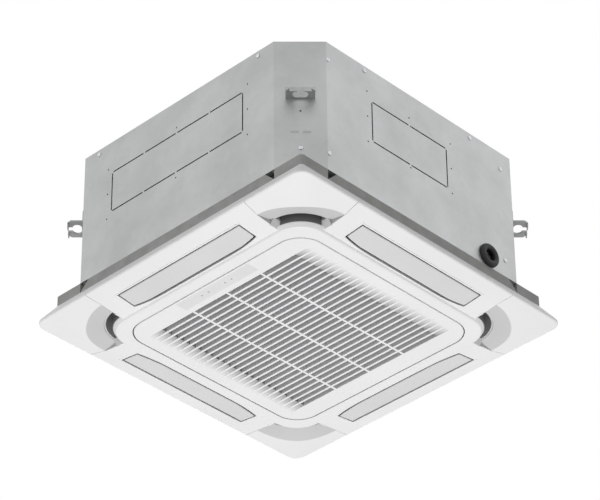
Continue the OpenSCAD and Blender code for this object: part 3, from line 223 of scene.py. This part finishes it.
def add_screw(mesh, matrix):
    """One screw with its head's seat at the matrix's origin, looking along its X."""
    start = len(mesh.verts)
    turns = [2 * math.pi * j / HEAD_SIDES for j in range(HEAD_SIDES)]
    rings = []
    for i in range(1, HEAD_RINGS + 1):
        r = HEAD_R * i / HEAD_RINGS
        spots = [(r * math.cos(a), r * math.sin(a)) for a in turns]
        rings.append([mesh.verts.new((head_height(x, y), x, y)) for x, y in spots])
    for r, depth in ((SHANK_R, 0.0), (SHANK_R, -SHANK_L), (SHANK_R / 3, -SHANK_L)):
        rings.append([mesh.verts.new((depth, r * math.cos(a), r * math.sin(a))) for a in turns])
    tip = mesh.verts.new((head_height(0, 0), 0, 0))
    for j in range(HEAD_SIDES):
        k = (j + 1) % HEAD_SIDES
        mesh.faces.new((tip, rings[0][j], rings[0][k]))
        for a, b in zip(rings, rings[1:]):
            mesh.faces.new((a[j], b[j], b[k], a[k]))
    mesh.faces.new(rings[-1])
    mesh.verts.ensure_lookup_table()
    bmesh.ops.transform(mesh, matrix=matrix, verts=mesh.verts[start:])


mesh = bmesh.new()
for side in range(4):
    turn = Matrix.Rotation(side * math.pi / 2, 4, "Z")
    for along, height in OTHER_SCREWS if side else RIGHT_SCREWS:
        add_screw(mesh, turn @ Matrix.Translation((SHEET_FACE, along, height)))
for corner in range(4):
    add_screw(mesh, Matrix.Rotation(math.pi / 4 + corner * math.pi / 2, 4, "Z")
              @ Matrix.Translation((CHAMFER_FACE, 0, CHAMFER_SCREW_Z)))
bmesh.ops.recalc_face_normals(mesh, faces=mesh.faces)
screws = new_piece("cabinet_pan_head_screws", mesh, zinc, smooth=True)
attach(screws, "housing")
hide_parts("cabinet_screws")


# Cable grommet: a moulded ring of black rubber, snapped into the right sheet. Its rounded
# lip stands out of the sheet, and moulding leaves it matt with a soft shine on the curve.
rubber, tree, shader = new_finish("moulded_black_rubber")
place, tone = two_tone(tree, shader, "#1B1C1D", "#262728", patch=0.006)
grain(tree, shader, place, size=0.0012, height=0.00004, rough=(0.5, 0.7))
dress(rubber, "motor_mounts")

MM = 0.001
GROMMET_PLACE = (0.285, 0.1555, 0.091)
GROMMET_SIDES = 96
GROMMET_PROFILE = [(10.5, -3.2), (17.0, -3.2), (17.0, -1.2), (15.0, -1.2), (15.0, 0.0), (20.6, 0.0),
                   (21.3, 0.6), (21.5, 1.8), (21.2, 4.0), (20.2, 6.0), (18.4, 7.4), (16.4, 8.0),
                   (14.2, 7.8), (12.2, 7.0), (11.0, 5.8), (10.5, 4.4)]


def turned_ring(name, profile, sides, matrix, material):
    """A closed profile of radius and depth in millimetres, turned round the matrix's X axis."""
    mesh = bmesh.new()
    rings = []
    for i in range(sides):
        a = 2 * math.pi * i / sides
        rings.append([mesh.verts.new((x * MM, r * MM * math.cos(a), r * MM * math.sin(a)))
                      for r, x in profile])
    for i in range(sides):
        for j in range(len(profile)):
            a, b = rings[i], rings[(i + 1) % sides]
            k = (j + 1) % len(profile)
            mesh.faces.new((a[j], a[k], b[k], b[j]))
    bmesh.ops.transform(mesh, matrix=matrix, verts=mesh.verts)
    bmesh.ops.recalc_face_normals(mesh, faces=mesh.faces)
    return new_piece(name, mesh, material, smooth=True)


grommet = turned_ring("grommet_ring", GROMMET_PROFILE, GROMMET_SIDES,
                      Matrix.Translation(GROMMET_PLACE), rubber)
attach(grommet, "housing")
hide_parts("cable_grommet")


# Sealing blocks: cut from grey closed-cell polyethylene foam and pressed between the
# cabinet's foot and the fascia. Cut foam shows its cells and stays quite matt.
CELL = 0.0022
CELL_DEPTH = 0.0002

sealing_foam, tree, shader = new_finish("grey_closed_cell_foam")
place, tone = two_tone(tree, shader, "#A2A2A0", "#AFAFAD", patch=0.02)
cells = add_node(tree, "ShaderNodeTexVoronoi", {"Scale": 1 / CELL}, {"Vector": place.outputs["Object"]})
relief = add_node(tree, "ShaderNodeBump", {"Strength": 0.6, "Distance": CELL_DEPTH},
                  {"Height": cells.outputs["Distance"]})
tree.links.new(relief.outputs["Normal"], shader.inputs["Normal"])
shader.inputs["Roughness"].default_value = 0.9
dress(sealing_foam, "seal_front", "seal_right", "seal_back", "seal_left", "corner_seal_right_back",
      "corner_seal_back_left", "corner_seal_left_front", "corner_seal_front_right")


# Linings: painted shade, black sheets round the inside of the four straight ducts above the
# vanes, so that the gaps round a closed vane look black, and a strip of charcoal sheet on the
# inner wall of each curved corner outlet, so that it looks dark grey. The strips are flat sheets.
def add_sweep(mesh, sections, matrix):
    """A closed strip through sections of millimetre points, capped at both ends."""
    rings = [[mesh.verts.new(matrix @ (Vector(point) * MM)) for point in section]
             for section in sections]
    mesh.faces.new(rings[0])
    mesh.faces.new(rings[-1])
    for a, b in zip(rings, rings[1:]):
        for j in range(len(a)):
            k = (j + 1) % len(a)
            mesh.faces.new((a[j], a[k], b[k], b[j]))


def fit_shade_sheet(name, mesh, material):
    """The finished sheet of painted shade, fixed to the housing."""
    bmesh.ops.recalc_face_normals(mesh, faces=mesh.faces)
    lining = new_piece(name, mesh, material)
    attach(lining, "housing")


DUCT_HALF_L = 140.85
SHEET_T = 0.8
DUCT_INNER_LINE = [(232.65, 12.0), (232.65, 20.0), (236.15, 70.5)]
DUCT_OUTER_LINE = [(278.35, 12.0), (278.35, 20.0), (269.55, 52.0), (269.55, 70.5)]
DUCT_END_FACE = [(233.6, 12.0), (247.0, 12.0), (247.0, 19.5), (257.0, 19.5), (257.0, 12.0),
                 (277.4, 12.0), (277.4, 20.0), (268.6, 52.0), (268.6, 70.5), (237.1, 70.5),
                 (233.6, 20.0)]
ARC_CENTRE = 179.0
SLOT_INNER_R = 53.6
SLOT_SHADE_STRIP = [(SLOT_INNER_R, 8.2), (SLOT_INNER_R + SHEET_T, 8.2),
               (SLOT_INNER_R + SHEET_T, 24.0), (SLOT_INNER_R, 24.0)]
SLOT_FIRST_ANGLE = math.radians(7.9)
SLOT_STATIONS = 33

# Charcoal sheet of painted shade for the inner wall of each corner outlet.
charcoal_shade_sheet, tree, shader = new_finish("charcoal_painted_shade_sheet")
place, tone = two_tone(tree, shader, "#757576", "#7B7B7C", patch=0.004)
grain(tree, shader, place, size=SHEET_NAP, height=0.0001, rough=(0.9, 1.0))

# Black sheets of painted shade inside the four straight ducts.
mesh = bmesh.new()
for number in range(4):
    turn = Matrix.Rotation(number * math.pi / 2, 4, "Z")
    for line, depth in ((DUCT_INNER_LINE, SHEET_T), (DUCT_OUTER_LINE, -SHEET_T)):
        outline = line + [(x + depth, z) for x, z in reversed(line)]
        add_sweep(mesh, [[(x, y, z) for x, z in outline] for y in (-DUCT_HALF_L, DUCT_HALF_L)], turn)
    for end in (-1, 1):
        add_sweep(mesh, [[(x, y, z) for x, z in DUCT_END_FACE]
                         for y in (end * DUCT_HALF_L, end * (DUCT_HALF_L - SHEET_T))], turn)
fit_shade_sheet("duct_painted_shade_sheets", mesh, black_shade_sheet)

mesh = bmesh.new()
for number in range(4):
    turn = Matrix.Rotation(number * math.pi / 2, 4, "Z")
    sections = []
    for i in range(SLOT_STATIONS):
        a = SLOT_FIRST_ANGLE + (math.pi / 2 - 2 * SLOT_FIRST_ANGLE) * i / (SLOT_STATIONS - 1)
        sections.append([(ARC_CENTRE + r * math.cos(a), ARC_CENTRE + r * math.sin(a), z)
                         for r, z in SLOT_SHADE_STRIP])
    add_sweep(mesh, sections, turn)
fit_shade_sheet("corner_slot_painted_shade_strips", mesh, charcoal_shade_sheet)


# Drain pan and liner: expanded polystyrene, steam-moulded from beads that stay visible as
# small polygons. It is white, light and without gloss.
BEAD = 0.004
BEAD_DEPTH = 0.0004

polystyrene, tree, shader = new_finish("expanded_polystyrene")
place, tone = two_tone(tree, shader, "#DADAD5", "#E8E8E3", patch=0.03)
beads = add_node(tree, "ShaderNodeTexVoronoi", {"Scale": 1 / BEAD}, {"Vector": place.outputs["Object"]})
relief = add_node(tree, "ShaderNodeBump", {"Strength": 0.5, "Distance": BEAD_DEPTH},
                  {"Height": beads.outputs["Distance"]})
tree.links.new(relief.outputs["Normal"], shader.inputs["Normal"])
shader.inputs["Roughness"].default_value = 0.85
dress(polystyrene, "drain_pan", "foam_liner")


# Coil: thin aluminium fins pressed on copper tubes. The fins run upright a little over a
# millimetre apart, drawn coarser here so that they show, and shine softly across.
WAVE_AT_SCALE_1 = 0.314  # metres from one band of a wave texture to the next, at scale 1


def crossed_bands(tree, shader, place, spacing, depth, strength):
    """Relief of fine bands a real spacing apart, along X and along Y."""
    below = None
    for axis in ("X", "Y"):
        bands = add_node(tree, "ShaderNodeTexWave",
                         {"wave_type": "BANDS", "bands_direction": axis,
                          "Scale": WAVE_AT_SCALE_1 / spacing, "Distortion": 0.0},
                         {"Vector": place.outputs["Object"]})
        relief = add_node(tree, "ShaderNodeBump", {"Strength": strength, "Distance": depth},
                          {"Height": bands.outputs["Fac"]})
        if below:
            tree.links.new(below.outputs["Normal"], relief.inputs["Normal"])
        below = relief
    tree.links.new(relief.outputs["Normal"], shader.inputs["Normal"])


FIN_SPACING = 0.0022
FIN_RELIEF = 0.0004

fins, tree, shader = new_finish("aluminium_fin_stock")
shader.inputs["Metallic"].default_value = 1.0
place, tone = two_tone(tree, shader, "#B9BDBF", "#CDD1D3", patch=0.05)
crossed_bands(tree, shader, place, spacing=FIN_SPACING, depth=FIN_RELIEF, strength=0.7)
shader.inputs["Roughness"].default_value = 0.35
dress(fins, "coil_fins")


# Pipes and coil tubes: drawn copper with machined brass flare ends. Drawn tube is smooth
# and has browned a little in patches.
copper, tree, shader = new_finish("drawn_copper_tube")
shader.inputs["Metallic"].default_value = 1.0
place, tone = two_tone(tree, shader, "#B4714A", "#D08E63", patch=0.02)
grain(tree, shader, place, size=0.001, height=0.00001, rough=(0.24, 0.4))
dress(copper, "coil_tubes", "gas_pipe", "liquid_pipe")


# Fan motor: a pressed steel shell with a dark satin enamel.
enamel, tree, shader = new_finish("grey_enamelled_steel")
place, tone = two_tone(tree, shader, "#55585A", "#606365", patch=0.02)
grain(tree, shader, place, size=0.0015, height=0.00003, rough=(0.35, 0.5))
dress(enamel, "fan_motor")


# Turbo fan, bellmouth, drain outlet and float switch: injection-moulded polystyrene in its
# own off-white, smooth with a low satin gloss.
moulded_white, tree, shader = new_finish("moulded_polystyrene")
place, tone = two_tone(tree, shader, "#D9DAD7", "#E3E4E1", patch=0.04)
grain(tree, shader, place, size=0.0015, height=0.00002, rough=(0.35, 0.45))
dress(moulded_white, "turbo_fan", "bellmouth", "drain_outlet", "float_switch")


# Terminal block and drain pump: moulded phenolic and glass-filled nylon, dark and satin.
phenolic, tree, shader = new_finish("black_phenolic")
place, tone = two_tone(tree, shader, "#1A1B1D", "#26282A", patch=0.01)
grain(tree, shader, place, size=0.001, height=0.00003, rough=(0.35, 0.5))
dress(phenolic, "terminal_block")

pump_nylon, tree, shader = new_finish("glass_filled_nylon")
place, tone = two_tone(tree, shader, "#4A4F51", "#565B5D", patch=0.008)
grain(tree, shader, place, size=0.001, height=0.00005, rough=(0.5, 0.65))
dress(pump_nylon, "drain_pump")


# Float: foamed plastic in a warning yellow, slightly porous.
float_foam, tree, shader = new_finish("foamed_yellow_float")
place, tone = two_tone(tree, shader, "#D9A02B", "#E8B441", patch=0.004)
grain(tree, shader, place, size=0.0012, height=0.0001, rough=(0.6, 0.8))
dress(float_foam, "float_ring")


# Latches and vane motors: white ABS, moulded in a finely etched tool. The etching gives a
# satin face that shades softly and shows no mirror image.
ABS_IOR = 1.53
ABS_GRAIN = 0.0014
WHITE_ABS = {"dark": "#EBEBEB", "light": "#EEEEEE", "height": 0.000012, "rough": (0.42, 0.5)}


def moulded_abs(name, dark, light, height, rough):
    """ABS from an etched tool: returns the material, its tree, shader, place and tone."""
    material, tree, shader = new_finish(name)
    place, tone = two_tone(tree, shader, dark, light, patch=0.12, detail=1.0)
    grain(tree, shader, place, size=ABS_GRAIN, height=height, rough=rough)
    shader.inputs["IOR"].default_value = ABS_IOR
    return material, tree, shader, place, tone


white_abs = moulded_abs("white_moulded_abs", **WHITE_ABS)[0]
dress(white_abs, "grille_latches", "vane_motor_front", "vane_motor_right", "vane_motor_back",
      "vane_motor_left")


# Fascia and corner covers: the same ABS. The recess round each curved outlet is painted a
# shade greyer than the face beside it: painted shade where the recess gets less light.
POCKET_R = 98.0 * MM
POCKET_FADE = 0.001
RING_R = 53.7 * MM

pocket_shaded_abs, tree, shader, place, tone = moulded_abs("white_moulded_abs_painted_pocket_shade", **WHITE_ABS)
apart = add_node(tree, "ShaderNodeVectorMath", {"operation": "ABSOLUTE"}, {0: place.outputs["Object"]})
arm = add_node(tree, "ShaderNodeVectorMath",
               {"operation": "SUBTRACT", 1: (ARC_CENTRE * MM, ARC_CENTRE * MM, 0)},
               {0: apart.outputs[0]})
flat_arm = add_node(tree, "ShaderNodeVectorMath", {"operation": "MULTIPLY", 1: (1, 1, 0)},
                    {0: arm.outputs[0]})
reach = add_node(tree, "ShaderNodeVectorMath", {"operation": "LENGTH"}, {0: flat_arm.outputs[0]})
# Mask of the painted shade: inside the disc round each outlet, outside the ring, on the outlet's own
# quarter.
pocket_disc = add_node(tree, "ShaderNodeMapRange",
                  {"From Min": POCKET_R - POCKET_FADE, "From Max": POCKET_R + POCKET_FADE,
                   "To Min": 1.0, "To Max": 0.0}, {"Value": reach.outputs["Value"]})
arm_axes = add_node(tree, "ShaderNodeSeparateXYZ", {}, {0: arm.outputs[0]})
pocket_shade_mask = pocket_disc.outputs["Result"]
for measure, least in ((reach.outputs["Value"], RING_R), (arm_axes.outputs["X"], 0.0),
                       (arm_axes.outputs["Y"], 0.0)):
    past = add_node(tree, "ShaderNodeMath", {"operation": "GREATER_THAN", 1: least}, {0: measure})
    pocket_shade_mask = add_node(tree, "ShaderNodeMath", {"operation": "MULTIPLY"},
                      {0: pocket_shade_mask, 1: past.outputs[0]}).outputs[0]
# Painted shade: the recess round each outlet takes the grey #C9C9C9.
pocket_shaded_colour = add_node(tree, "ShaderNodeMix", {"data_type": "RGBA", 7: linear("#C9C9C9")},
                  {0: pocket_shade_mask, 6: tone.outputs["Color"]})
tree.links.new(pocket_shaded_colour.outputs[2], shader.inputs["Base Color"])
dress(pocket_shaded_abs, "panel_frame", "corner_cap_right_back", "corner_cap_back_left",
      "corner_cap_left_front", "corner_cap_front_right")


# Intake grille: the same ABS. The grooves in which the slots run out at both sides are painted
# greyer as painted shade, darkest where the groove is deepest.
GROOVE_START = 0.1535
GROOVE_END = 0.1885
GROOVE_ROWS = 0.172
GROOVE_LIP = 0.0002
GROOVE_DEEP = 0.0015

grille_abs, tree, shader, place, tone = moulded_abs("white_moulded_abs_grille", **WHITE_ABS)
apart = add_node(tree, "ShaderNodeVectorMath", {"operation": "ABSOLUTE"}, {0: place.outputs["Object"]})
axes = add_node(tree, "ShaderNodeSeparateXYZ", {}, {0: apart.outputs[0]})
depth = add_node(tree, "ShaderNodeMapRange", {"From Min": GROOVE_LIP, "From Max": GROOVE_DEEP},
                 {"Value": axes.outputs["Z"]})
groove_shade_mask = depth.outputs["Result"]
for axis, side, limit in (("X", "GREATER_THAN", GROOVE_START), ("X", "LESS_THAN", GROOVE_END),
                          ("Y", "LESS_THAN", GROOVE_ROWS)):
    inside = add_node(tree, "ShaderNodeMath", {"operation": side, 1: limit}, {0: axes.outputs[axis]})
    groove_shade_mask = add_node(tree, "ShaderNodeMath", {"operation": "MULTIPLY"},
                    {0: groove_shade_mask, 1: inside.outputs[0]}).outputs[0]
# Painted shade in the grooves: #A8A8A8 where the groove is deepest.
groove_shaded_colour = add_node(tree, "ShaderNodeMix", {"data_type": "RGBA", 7: linear("#A8A8A8")},
                  {0: groove_shade_mask, 6: tone.outputs["Color"]})
tree.links.new(groove_shaded_colour.outputs[2], shader.inputs["Base Color"])
dress(grille_abs, "intake_grille")


# Louvre vanes: the same ABS in a pale grey, a little smoother because the tool was polished.
grey_abs = moulded_abs("pale_grey_moulded_abs", dark="#D6D6D6", light="#DADADA", height=0.00001,
                       rough=(0.38, 0.46))[0]
dress(grey_abs, "vane_front", "vane_right", "vane_back", "vane_left")


# Display window: a thin insert of translucent white polycarbonate in the grille, with four
# small lenses over the lamps. Polished, so a shade glossier than the grille.
POLYCARBONATE_IOR = 1.58

window_plastic, tree, shader = new_finish("translucent_white_polycarbonate")
place, tone = two_tone(tree, shader, "#DEDEDE", "#E1E1E1", patch=0.05, detail=1.0)
grain(tree, shader, place, size=ABS_GRAIN, height=0.000005, rough=(0.3, 0.36))
shader.inputs["IOR"].default_value = POLYCARBONATE_IOR
dress(window_plastic, "display_window")

lens_plastic, tree, shader = new_finish("smoked_polycarbonate_lens")
place, tone = two_tone(tree, shader, "#96989A", "#A2A4A6", patch=0.002)
grain(tree, shader, place, size=0.001, height=0.000005, rough=(0.2, 0.26))

LENS_PROFILE = [(0.2, -0.4), (1.7, -0.4), (1.7, 0.0), (1.5, 0.04), (0.9, 0.06), (0.2, 0.06)]
LENS_SIDES = 32
LENS_X = (-0.034, -0.019, 0.019, 0.034)
LENS_Y = -0.1895

for number, x in enumerate(LENS_X, start=1):
    looking_down = Matrix.Translation((x, LENS_Y, 0)) @ Matrix.Rotation(math.pi / 2, 4, "Y")
    lens = turned_ring(f"indicator_lens_{number}", LENS_PROFILE, LENS_SIDES, looking_down, lens_plastic)
    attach(lens, "grille")


# Air filter: woven polypropylene mesh welded into a ribbed frame, dark grey. The weave is
# drawn at two millimetres so that it shows.
WEAVE = 0.002
WEAVE_RELIEF = 0.0005

mesh_plastic, tree, shader = new_finish("woven_polypropylene_mesh")
place, tone = two_tone(tree, shader, "#454D52", "#535C62", patch=0.02)
crossed_bands(tree, shader, place, spacing=WEAVE, depth=WEAVE_RELIEF, strength=0.8)
shader.inputs["Roughness"].default_value = 0.7
dress(mesh_plastic, "air_filter")


# Camera: below the unit, in front of its right front corner, where the photograph's stood.
CAMERA_PLACE = (2.92122, -3.01813, -2.75572)
CAMERA_RIGHT = (0.7151628, 0.6989114, -0.0080659)
CAMERA_UP = (0.4039250, -0.4038445, 0.8208253)
CAMERA_BACK = (0.5704278, -0.5902808, -0.5711223)
LENS = 182.42
SENSOR = 36.0

camera_data = bpy.data.cameras.new("camera")
camera_data.lens = LENS
camera_data.sensor_width = SENSOR
camera_data.sensor_fit = "HORIZONTAL"
camera_data.clip_end = 100.0
camera = bpy.data.objects.new("camera", camera_data)
turn = Matrix((CAMERA_RIGHT, CAMERA_UP, CAMERA_BACK)).transposed().to_4x4()
camera.matrix_world = Matrix.Translation(CAMERA_PLACE) @ turn
bpy.context.scene.collection.objects.link(camera)
bpy.context.scene.camera = camera


# Floor: pale and plain, far below the hanging unit and below the camera. It throws soft
# light up at the fascia, and to the camera it shows near white.
FLOOR_Z = -3.4
FLOOR_HALF = 9.0
FLOOR_GLOW = 0.6

floor_paint, tree, shader = new_finish("pale_floor_paint")
place, tone = two_tone(tree, shader, "#E6E6E6", "#E9E9E9", patch=1.5, detail=1.0)
shader.inputs["Roughness"].default_value = 0.8
rays = add_node(tree, "ShaderNodeLightPath", {}, {})
white = add_node(tree, "ShaderNodeEmission", {"Color": (1.0, 1.0, 1.0, 1.0), "Strength": 1.0}, {})
mirrored = add_node(tree, "ShaderNodeMath", {"operation": "MAXIMUM"},
                    {0: rays.outputs["Is Glossy Ray"], 1: rays.outputs["Is Transmission Ray"]})
seen = add_node(tree, "ShaderNodeMath", {"operation": "MAXIMUM"},
                {0: rays.outputs["Is Camera Ray"], 1: mirrored.outputs[0]})
share = add_node(tree, "ShaderNodeMath", {"operation": "MULTIPLY", 1: FLOOR_GLOW}, {0: seen.outputs[0]})
mixed = add_node(tree, "ShaderNodeMixShader", {}, {0: share.outputs[0], 1: shader.outputs["BSDF"],
                                                  2: white.outputs["Emission"]})
tree.links.new(mixed.outputs["Shader"], tree.nodes["Material Output"].inputs["Surface"])
mesh = bmesh.new()
bmesh.ops.create_grid(mesh, x_segments=4, y_segments=4, size=FLOOR_HALF)
bmesh.ops.translate(mesh, vec=(0, 0, FLOOR_Z), verts=mesh.verts)
floor = new_piece("floor", mesh, floor_paint)


# Light: a white room that is bright to the camera and softer to the object, a soft box
# straight under the fascia, and two weak ones for the steel: in front, and high behind right.
ROOM_LIGHT = 0.45
world = bpy.data.worlds.new("white_room")
world.use_nodes = True
tree = world.node_tree
background = tree.nodes["Background"]
background.inputs["Color"].default_value = (1.0, 1.0, 1.0, 1.0)
rays = add_node(tree, "ShaderNodeLightPath", {}, {})
mirrored = add_node(tree, "ShaderNodeMath", {"operation": "MAXIMUM"},
                    {0: rays.outputs["Is Glossy Ray"], 1: rays.outputs["Is Transmission Ray"]})
seen = add_node(tree, "ShaderNodeMath", {"operation": "MAXIMUM"},
                {0: rays.outputs["Is Camera Ray"], 1: mirrored.outputs[0]})
level = add_node(tree, "ShaderNodeMapRange", {"To Min": ROOM_LIGHT, "To Max": 1.0},
                 {"Value": seen.outputs[0]})
tree.links.new(level.outputs["Result"], background.inputs["Strength"])
bpy.context.scene.world = world


def soft_box(name, place, target, size, watts):
    """A square area lamp that looks at a point and isn't itself in the picture."""
    lamp_data = bpy.data.lights.new(name, "AREA")
    lamp_data.shape = "SQUARE"
    lamp_data.size = size
    lamp_data.energy = watts
    lamp = bpy.data.objects.new(name, lamp_data)
    lamp.location = place
    lamp.rotation_euler = (Vector(target) - Vector(place)).to_track_quat("-Z", "Y").to_euler()
    lamp.visible_camera = False
    bpy.context.scene.collection.objects.link(lamp)


soft_box("low_soft_box", place=(0.0, 0.0, -3.1), target=(0, 0, 0.1), size=2.0, watts=62.0)
soft_box("front_soft_box", place=(-0.6, -4.0, 0.2), target=(0, 0, 0.15), size=2.5, watts=21.0)
soft_box("high_right_soft_box", place=(2.6, 2.4, 2.3), target=(0, 0, 0.12), size=2.0, watts=6.0)

bpy.context.scene.view_settings.view_transform = "Standard"
